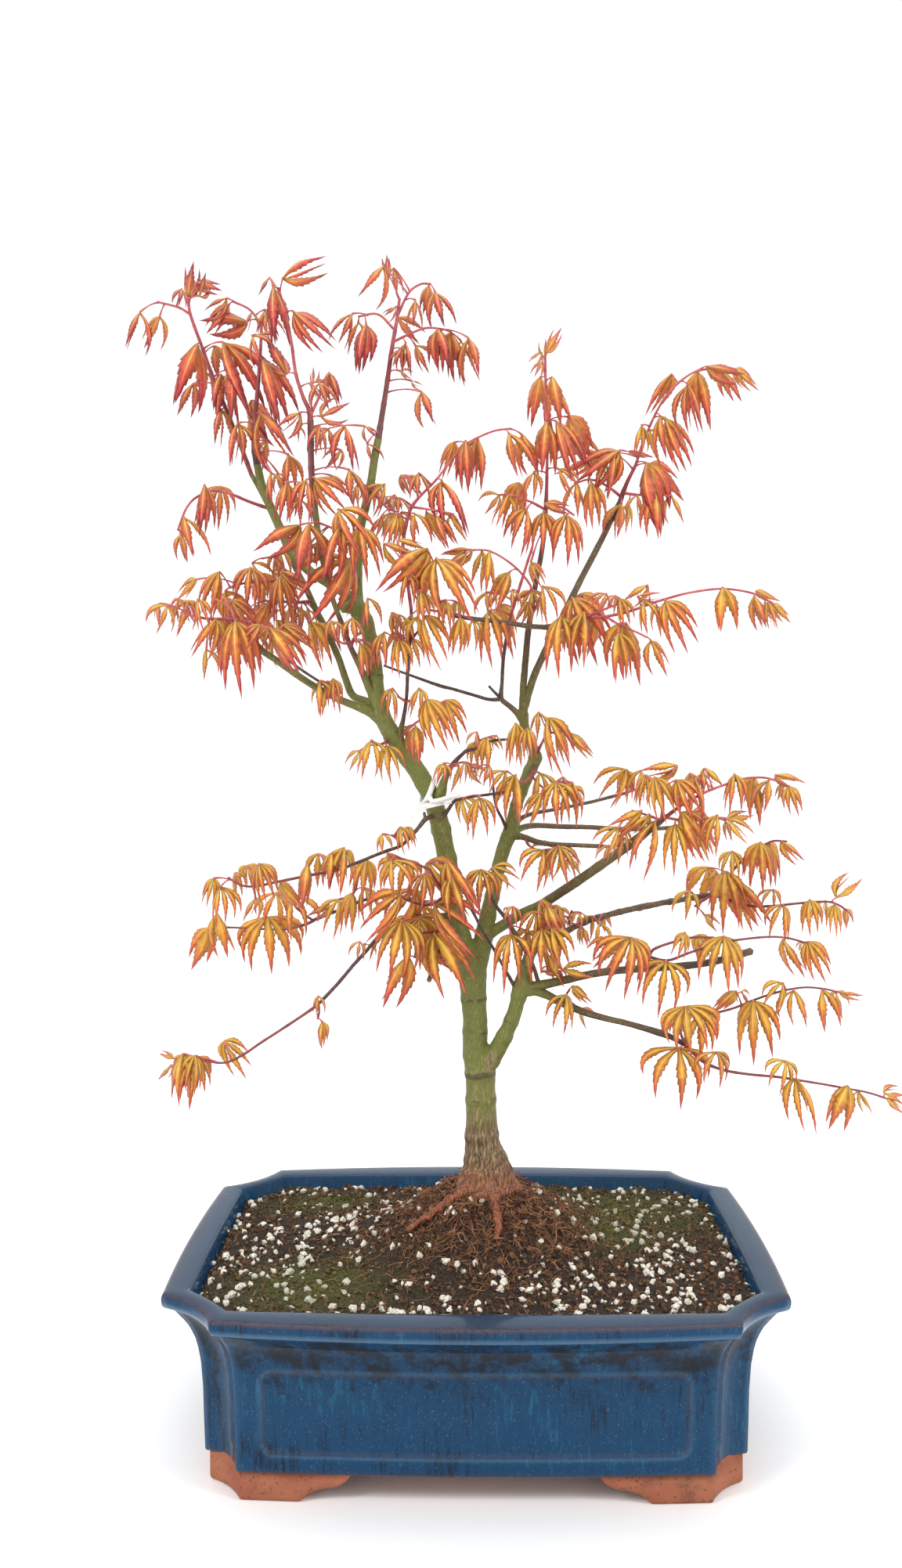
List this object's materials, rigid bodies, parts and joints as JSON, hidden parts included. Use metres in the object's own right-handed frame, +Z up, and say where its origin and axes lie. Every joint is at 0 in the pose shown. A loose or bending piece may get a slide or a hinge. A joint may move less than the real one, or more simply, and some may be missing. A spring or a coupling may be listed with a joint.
{
  "type": "potted maple bonsai",
  "caption": "Small maple with two green leaders and loose layers of gold to coral lobed leaves, rooted in a soil mound in a low blue glazed pot with cut corners and feet.",
  "frame": {"origin": "middle of the whole object's box, on the surface that the pot's feet stand on", "axes": "+X to the right along the pot's long side as seen from its front, +Y towards the back, +Z up along the trunk"},
  "size_m": [0.3799, 0.2114, 0.5997],
  "materials": {
    "glazed_stoneware": "glossy deep blue running glaze, thinner and browner on the edges, with bare reddish clay on the feet",
    "drain_screen": "matt black woven plastic mesh",
    "potting_soil": "matt moist peat and bark crumbs with white perlite and olive moss",
    "maple_bark": "smooth satin olive green bark with tan streaks and rings, redder on thin twigs",
    "label_tie": "satin white polythene strap",
    "crown_leaves": "thin satin leaves, gold at the heart and coral red at the edges",
    "lower_leaves": "thin satin leaves, gold with orange edges and dark red tips"
  },
  "bodies": {
    "root": {"pot": "glazed_stoneware", "drain_screen_left": "drain_screen", "drain_screen_right": "drain_screen", "soil": "potting_soil", "trunk": "maple_bark", "label_tie": "label_tie", "shoot_west_top": "crown_leaves", "shoot_west_inner": "crown_leaves", "shoot_second_stem": "crown_leaves", "shoot_front_crown": "crown_leaves", "shoot_west_arch": "crown_leaves", "shoot_west_upper_twig": "crown_leaves", "shoot_west_lower_twig": "crown_leaves", "shoot_west_limb_end": "crown_leaves", "shoot_west_red_twig": "crown_leaves", "shoot_west_elbow": "crown_leaves", "shoot_brown_stem": "crown_leaves", "shoot_middle_stem": "crown_leaves", "shoot_middle_low": "crown_leaves", "shoot_north_arch": "crown_leaves", "shoot_front_wave": "crown_leaves", "shoot_twig_pair": "crown_leaves", "shoot_centre_twig": "crown_leaves", "shoot_crown_east": "crown_leaves", "shoot_crown_east_foot": "crown_leaves", "shoot_east_arch": "crown_leaves", "shoot_east_crown": "crown_leaves", "shoot_east_back_twig": "lower_leaves", "shoot_east_bright": "lower_leaves", "shoot_east_olive_end": "lower_leaves", "shoot_mid_hanging": "lower_leaves", "shoot_far_east": "lower_leaves", "shoot_mid_pair": "lower_leaves", "shoot_mid_trio": "lower_leaves", "shoot_centre_gold": "lower_leaves", "shoot_crossing_top": "lower_leaves", "shoot_crossing_low": "lower_leaves", "shoot_fork_front": "lower_leaves", "shoot_trunk_front": "lower_leaves", "shoot_west_back": "lower_leaves", "shoot_west_back_mid": "lower_leaves", "shoot_west_mid": "lower_leaves", "shoot_west_near": "lower_leaves", "shoot_low_west": "lower_leaves", "shoot_low_west_bud": "lower_leaves", "shoot_stub_limb": "lower_leaves", "shoot_stub_foot": "lower_leaves", "shoot_low_east_near": "lower_leaves", "shoot_low_east": "lower_leaves", "shoot_low_east_upper": "lower_leaves", "shoot_side_limb_end": "lower_leaves", "shoot_side_limb_mid": "lower_leaves", "shoot_side_limb_foot": "lower_leaves", "shoot_leader_mid": "lower_leaves", "shoot_leader_east": "lower_leaves", "shoot_cross_twig": "lower_leaves", "shoot_leader_west": "lower_leaves", "shoot_leader_inner": "lower_leaves", "shoot_thin_stem_pair": "crown_leaves"}
  },
  "joints": []
}
